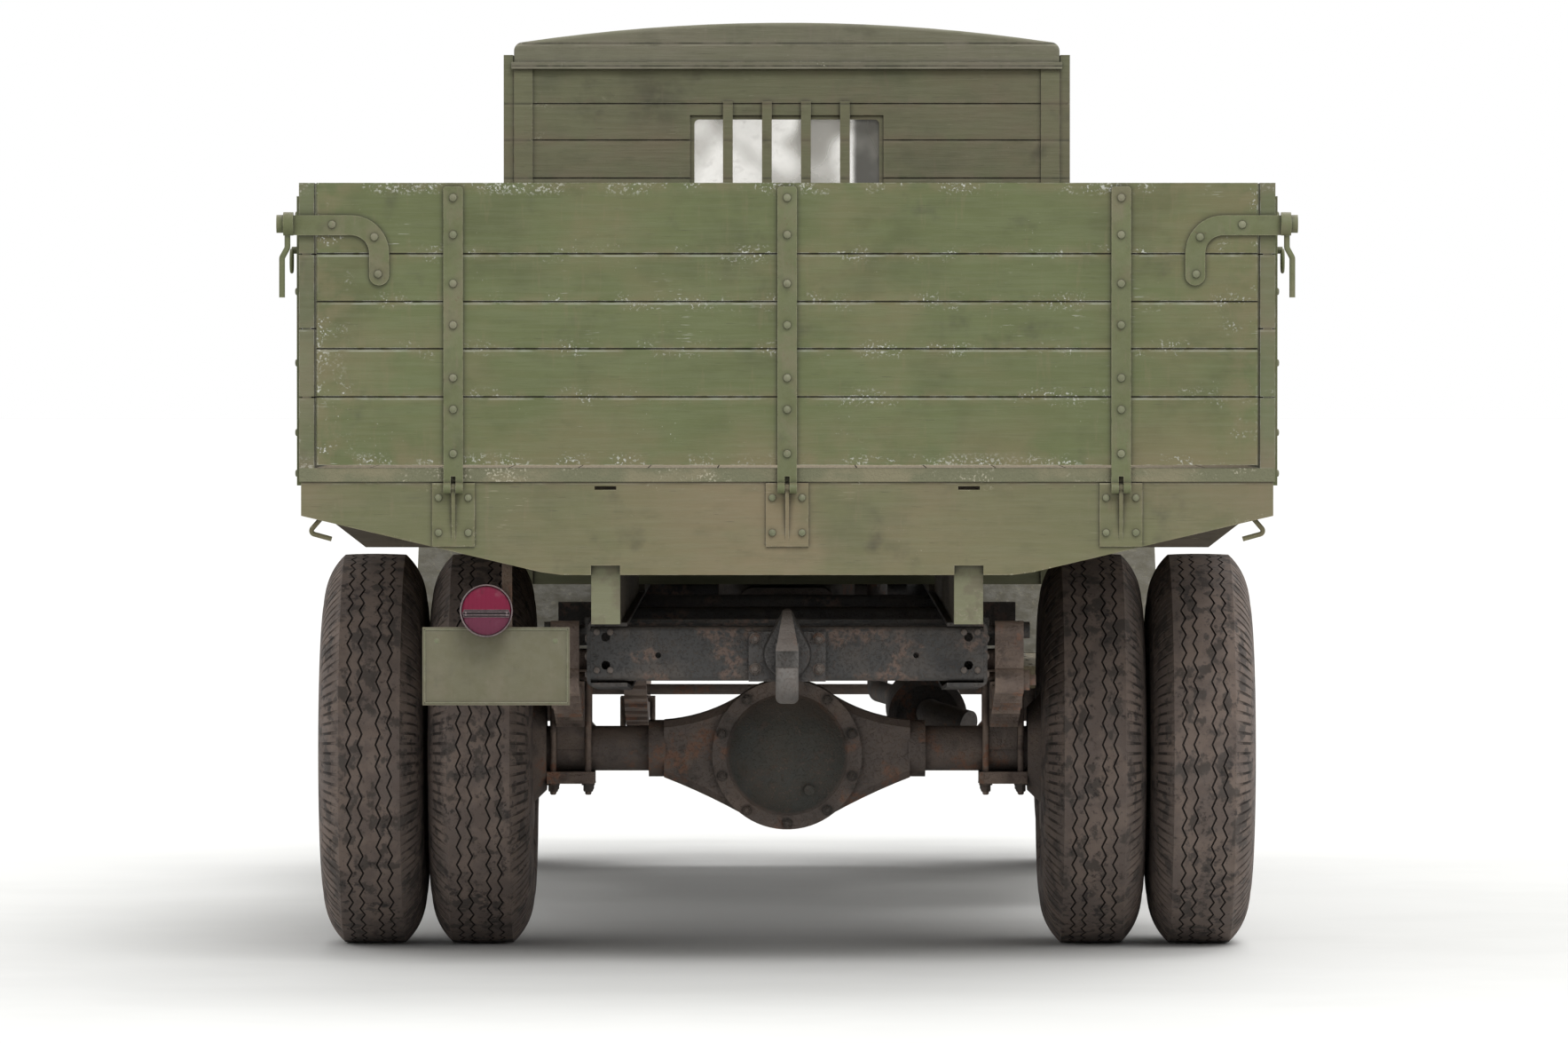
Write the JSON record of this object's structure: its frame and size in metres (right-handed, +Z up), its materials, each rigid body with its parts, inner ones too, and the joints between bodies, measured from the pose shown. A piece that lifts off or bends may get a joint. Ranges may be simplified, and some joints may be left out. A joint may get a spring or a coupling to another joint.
{
  "type": "military cargo truck",
  "caption": "Three-ton rear-driven military cargo truck with plank cab, plank cargo bed, swing-down tailgate, twin rear tyres, steering front wheels, opening doors and bonnet.",
  "frame": {"origin": "on the ground, in the middle of the truck's length and width", "axes": "+Y forward, +Z up, +X to the right-hand side seen from behind"},
  "size_m": [2.262, 6.0599, 2.2101],
  "materials": {
    "chassis_paint": "dark grey-black chassis paint, dusty and rusty",
    "body_paint": "olive enamel brushed on iron and sheet, chalked",
    "olive_wood": "olive enamel brushed on pine planks, worn at the edges",
    "cab_wood": "olive-drab enamel brushed on plank cab",
    "bare_wood": "weathered plank",
    "tyre_rubber": "dusty black rubber",
    "rim_paint": "olive wheel enamel",
    "cast_iron": "cast iron, oily and dusty",
    "forged_steel": "worn forged steel",
    "seat_hide": "black leathercloth",
    "pane_glass": "clear flat glass",
    "lamp_lens": "tail lamp housing with crimson lens"
  },
  "bodies": {
    "chassis": {"frame": "chassis_paint", "rear_springs": "chassis_paint", "front_springs": "chassis_paint", "front_axle": "chassis_paint", "rear_axle": "chassis_paint", "exhaust": "chassis_paint", "front_bumper": "chassis_paint", "tow_hook": "forged_steel", "powertrain": "cast_iron", "radiator": "body_paint", "cowl": "body_paint", "front_fenders": "body_paint", "headlamps": "body_paint", "bed_irons": "body_paint", "steering_column": "body_paint", "cab_back_wall": "cab_wood", "cab_pillars": "cab_wood", "cab_roof": "cab_wood", "cab_floor": "cab_wood", "bed_sides": "olive_wood", "bed_bearers": "olive_wood", "rear_sill": "olive_wood", "bed_floor": "bare_wood", "running_boards": "bare_wood", "seat_cushions": "seat_hide", "cab_glass": "pane_glass", "tail_lamp": "lamp_lens"},
    "tailgate": {"tailgate_boards": "olive_wood", "tailgate_straps": "body_paint", "tailgate_latches": "body_paint"},
    "door_left": {"door_left": "cab_wood"},
    "door_right": {"door_right": "cab_wood"},
    "bonnet_left": {"bonnet_left": "body_paint"},
    "bonnet_right": {"bonnet_right": "body_paint"},
    "knuckle_left": {"knuckle_left": "chassis_paint"},
    "knuckle_right": {"knuckle_right": "chassis_paint"},
    "track_rod": {"tie_rod": "chassis_paint"},
    "wheel_front_left": {"wheel_front_left": "rim_paint", "tyre_front_left": "tyre_rubber"},
    "wheel_front_right": {"wheel_front_right": "rim_paint", "tyre_front_right": "tyre_rubber"},
    "wheel_rear_left": {"wheel_rear_left": "rim_paint", "tyre_rear_left": "tyre_rubber"},
    "wheel_rear_right": {"wheel_rear_right": "rim_paint", "tyre_rear_right": "tyre_rubber"}
  },
  "joints": [
    {"name": "tailgate_drop", "type": "hinge", "parent": "chassis", "child": "tailgate", "pos_m": [0, -3.012, 1.084], "axis": [1, 0, 0], "range_deg": [0, 170]},
    {"name": "door_left_swing", "type": "hinge", "parent": "chassis", "child": "door_left", "pos_m": [-0.719, 1.105, 1.4], "axis": [0, 0, -1], "range_deg": [0, 70]},
    {"name": "door_right_swing", "type": "hinge", "parent": "chassis", "child": "door_right", "pos_m": [0.719, 1.105, 1.4], "axis": [0, 0, 1], "range_deg": [0, 70]},
    {"name": "bonnet_left_lift", "type": "hinge", "parent": "chassis", "child": "bonnet_left", "pos_m": [0, 1.7575, 1.452], "axis": [0, 1, 0], "range_deg": [0, 50]},
    {"name": "bonnet_right_lift", "type": "hinge", "parent": "chassis", "child": "bonnet_right", "pos_m": [0, 1.7575, 1.452], "axis": [0, -1, 0], "range_deg": [0, 50]},
    {"name": "steer_left", "type": "hinge", "parent": "chassis", "child": "knuckle_left", "pos_m": [-0.65, 2.18, 0.4557], "axis": [0, 0, 1], "range_deg": [-30, 30]},
    {"name": "steer_right", "type": "hinge", "parent": "chassis", "child": "knuckle_right", "pos_m": [0.65, 2.18, 0.4557], "axis": [0, 0, 1], "range_deg": [-30, 30]},
    {"name": "track_rod_eye", "type": "hinge", "parent": "knuckle_left", "child": "track_rod", "pos_m": [-0.65, 2, 0.477], "axis": [0, 0, 1], "range_deg": [-30, 30]},
    {"name": "wheel_front_left_turn", "type": "hinge", "parent": "knuckle_left", "child": "wheel_front_left", "pos_m": [-0.795, 2.18, 0.4557], "axis": [-1, 0, 0], "continuous": true},
    {"name": "wheel_front_right_turn", "type": "hinge", "parent": "knuckle_right", "child": "wheel_front_right", "pos_m": [0.795, 2.18, 0.4557], "axis": [-1, 0, 0], "continuous": true},
    {"name": "wheel_rear_left_turn", "type": "hinge", "parent": "chassis", "child": "wheel_rear_left", "pos_m": [-0.8375, -1.63, 0.4557], "axis": [-1, 0, 0], "continuous": true},
    {"name": "wheel_rear_right_turn", "type": "hinge", "parent": "chassis", "child": "wheel_rear_right", "pos_m": [0.8375, -1.63, 0.4557], "axis": [-1, 0, 0], "continuous": true}
  ],
  "couplings": [
    {"joint": "steer_right", "follows": "steer_left", "ratio": 1},
    {"joint": "track_rod_eye", "follows": "steer_left", "ratio": -1}
  ]
}
